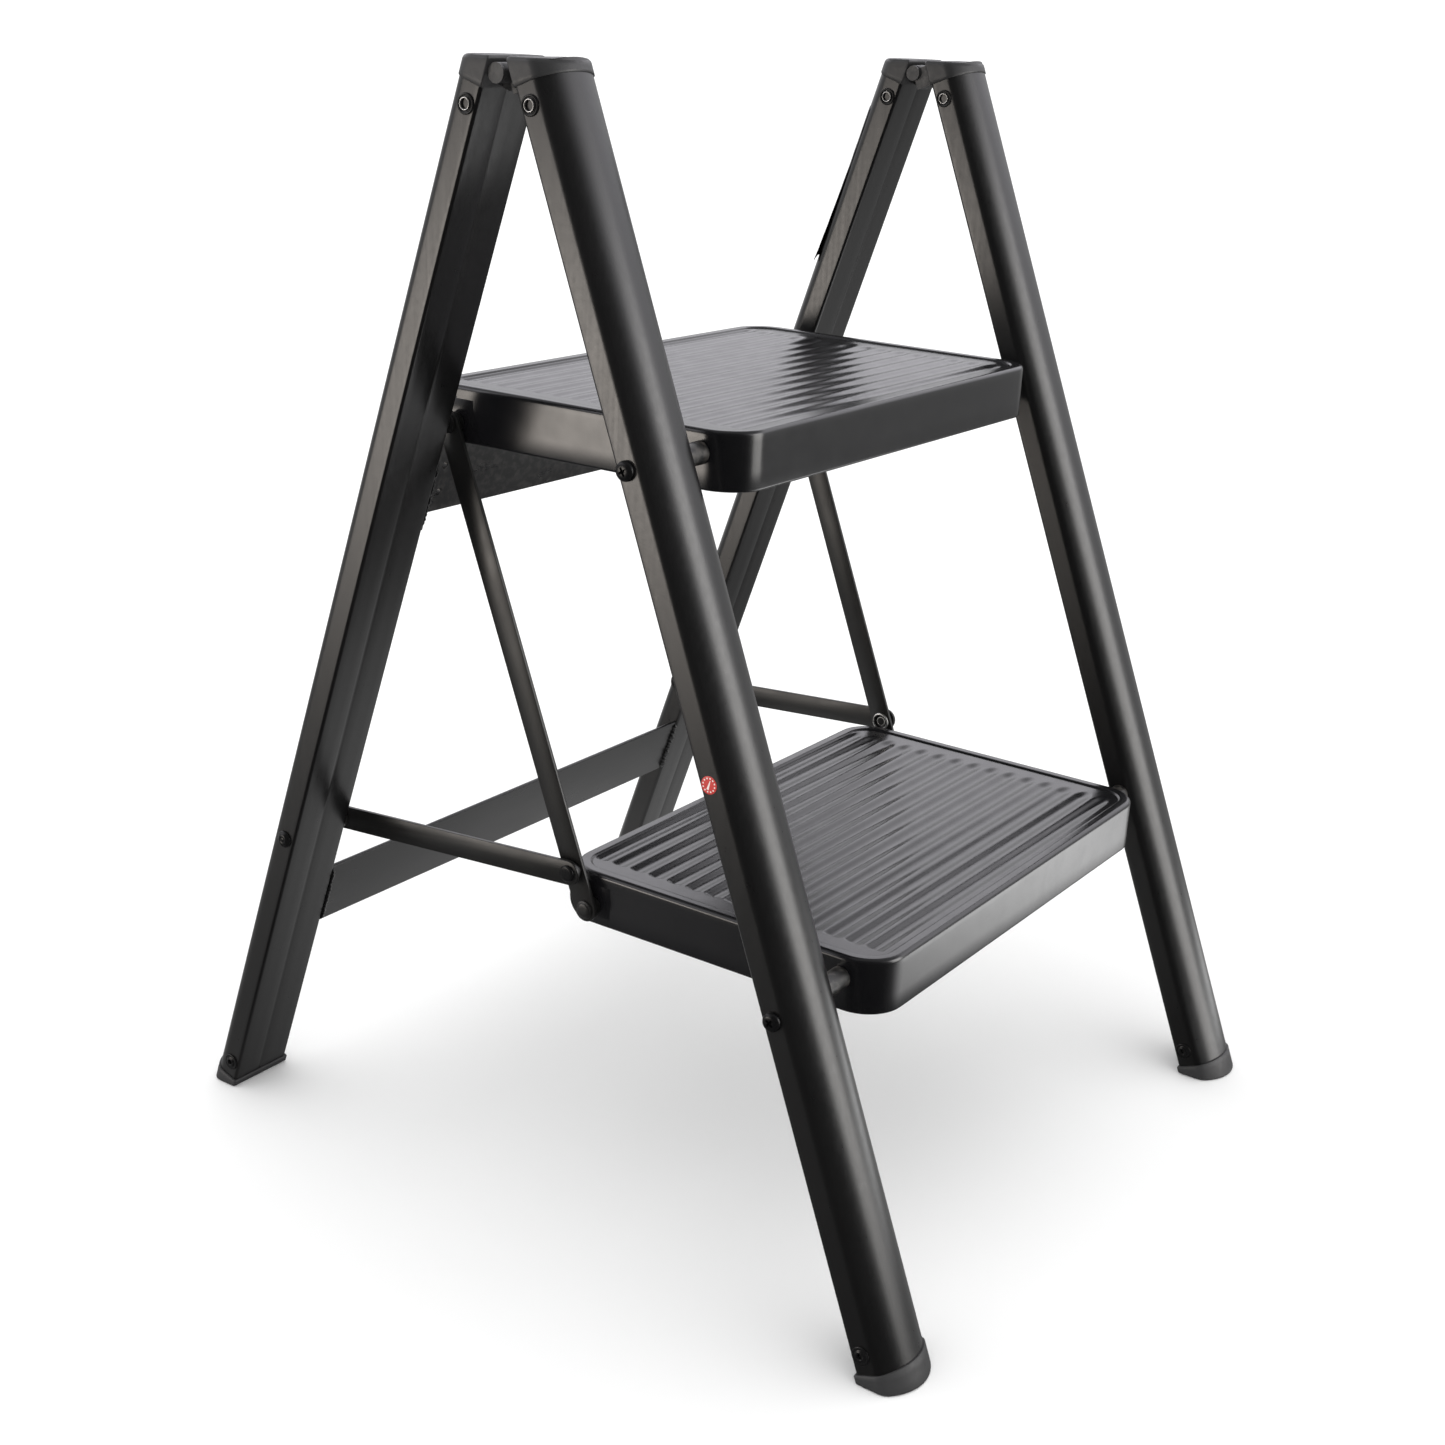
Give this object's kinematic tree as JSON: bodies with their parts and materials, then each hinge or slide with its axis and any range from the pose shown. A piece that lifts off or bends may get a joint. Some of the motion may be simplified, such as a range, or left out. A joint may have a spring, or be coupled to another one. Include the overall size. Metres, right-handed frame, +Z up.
{
  "type": "folding two-step ladder",
  "caption": "Black folding A-frame step ladder with wide D-section legs, ribbed pressed steps, plastic hinge caps, rubber feet and a flat-bar fold linkage.",
  "frame": {"origin": "on the floor under the middle of the open ladder's footprint", "axes": "+X to the right across the width for a person climbing from the front, +Y from the climbing side to the rear legs, +Z up"},
  "size_m": [0.5266, 0.5995, 0.7276],
  "materials": {
    "leg_finish": "satin black coated aluminium extrusion with faint lengthwise lines",
    "cap_plastic": "fine-textured matte black moulding",
    "foot_rubber": "matte black rubber",
    "step_gloss": "gloss black powder coat on pressed steel",
    "bar_finish": "semi-gloss black paint",
    "link_finish": "semi-gloss black paint on steel",
    "black_fastener": "gloss black plated steel, bare at the rolled edges",
    "zinc_steel": "zinc plated",
    "sticker_red": "printed film, red with pale dots",
    "label_film": "dark blank film label, one end lifting"
  },
  "bodies": {
    "front_frame": {"front_leg_left": "leg_finish", "front_leg_right": "leg_finish", "front_cap_left": "cap_plastic", "front_cap_right": "cap_plastic", "front_foot_left": "foot_rubber", "front_foot_right": "foot_rubber", "hinge_pins": "cap_plastic", "front_cap_rivets": "black_fastener", "front_foot_rivets": "black_fastener", "upper_pivot_screws": "black_fastener", "lower_pivot_screws": "black_fastener", "upper_pivot_tubes": "link_finish", "lower_pivot_tubes": "link_finish", "upper_pivot_nuts": "zinc_steel", "lower_pivot_nuts": "zinc_steel", "inspection_sticker": "sticker_red"},
    "rear_frame": {"rear_leg_left": "leg_finish", "rear_leg_right": "leg_finish", "rear_cap_left": "cap_plastic", "rear_cap_right": "cap_plastic", "rear_foot_left": "foot_rubber", "rear_foot_right": "foot_rubber", "rear_cap_rivets": "black_fastener", "rear_foot_rivets": "black_fastener", "upper_crossbar": "bar_finish", "lower_crossbar": "bar_finish", "crossbar_welds": "bar_finish", "leg_link_rivets": "black_fastener", "leg_link_washers": "zinc_steel", "blank_label": "label_film"},
    "upper_tread": {"upper_step": "step_gloss", "upper_step_bushes": "zinc_steel", "upper_link_rivets": "black_fastener"},
    "lower_tread": {"lower_step": "step_gloss", "lower_step_bushes": "zinc_steel", "lower_link_rivets": "black_fastener"},
    "upright_left": {"upright_link_left": "link_finish", "joint_rivet_left": "black_fastener"},
    "upright_right": {"upright_link_right": "link_finish", "joint_rivet_right": "black_fastener"},
    "cross_left": {"cross_link_left": "link_finish", "cross_rivet_left": "black_fastener"},
    "cross_right": {"cross_link_right": "link_finish", "cross_rivet_right": "black_fastener"}
  },
  "joints": [
    {"name": "upper_step_fold", "type": "hinge", "parent": "front_frame", "child": "upper_tread", "pos_m": [0, -0.0771, 0.512], "axis": [1, 0, 0], "range_deg": [0, 66]},
    {"name": "lower_step_fold", "type": "hinge", "parent": "front_frame", "child": "lower_tread", "pos_m": [0, -0.1949, 0.2118], "axis": [1, 0, 0], "range_deg": [0, 66]},
    {"name": "rear_frame_fold", "type": "hinge", "parent": "front_frame", "child": "rear_frame", "pos_m": [0, 0.0231, 0.7172], "axis": [1, 0, 0], "range_deg": [-38.5, 0]},
    {"name": "upright_left_swing", "type": "hinge", "parent": "upper_tread", "child": "upright_left", "pos_m": [-0.19325, 0.1121, 0.5027], "axis": [1, 0, 0], "range_deg": [-66, 0]},
    {"name": "upright_right_swing", "type": "hinge", "parent": "upper_tread", "child": "upright_right", "pos_m": [0.19325, 0.1121, 0.5027], "axis": [1, 0, 0], "range_deg": [-66, 0]},
    {"name": "cross_left_swing", "type": "hinge", "parent": "upright_left", "child": "cross_left", "pos_m": [-0.19925, 0.00402, 0.22727], "axis": [1, 0, 0], "range_deg": [-99.17, 0]},
    {"name": "cross_right_swing", "type": "hinge", "parent": "upright_right", "child": "cross_right", "pos_m": [0.19925, 0.00402, 0.22727], "axis": [1, 0, 0], "range_deg": [-99.17, 0]}
  ],
  "couplings": [
    {"joint": "lower_step_fold", "follows": "upper_step_fold", "ratio": 1},
    {"joint": "rear_frame_fold", "follows": "upper_step_fold", "ratio": -0.58333},
    {"joint": "upright_left_swing", "follows": "upper_step_fold", "ratio": -1},
    {"joint": "upright_right_swing", "follows": "upper_step_fold", "ratio": -1},
    {"joint": "cross_left_swing", "follows": "upper_step_fold", "ratio": -1.5026},
    {"joint": "cross_right_swing", "follows": "upper_step_fold", "ratio": -1.5026}
  ]
}
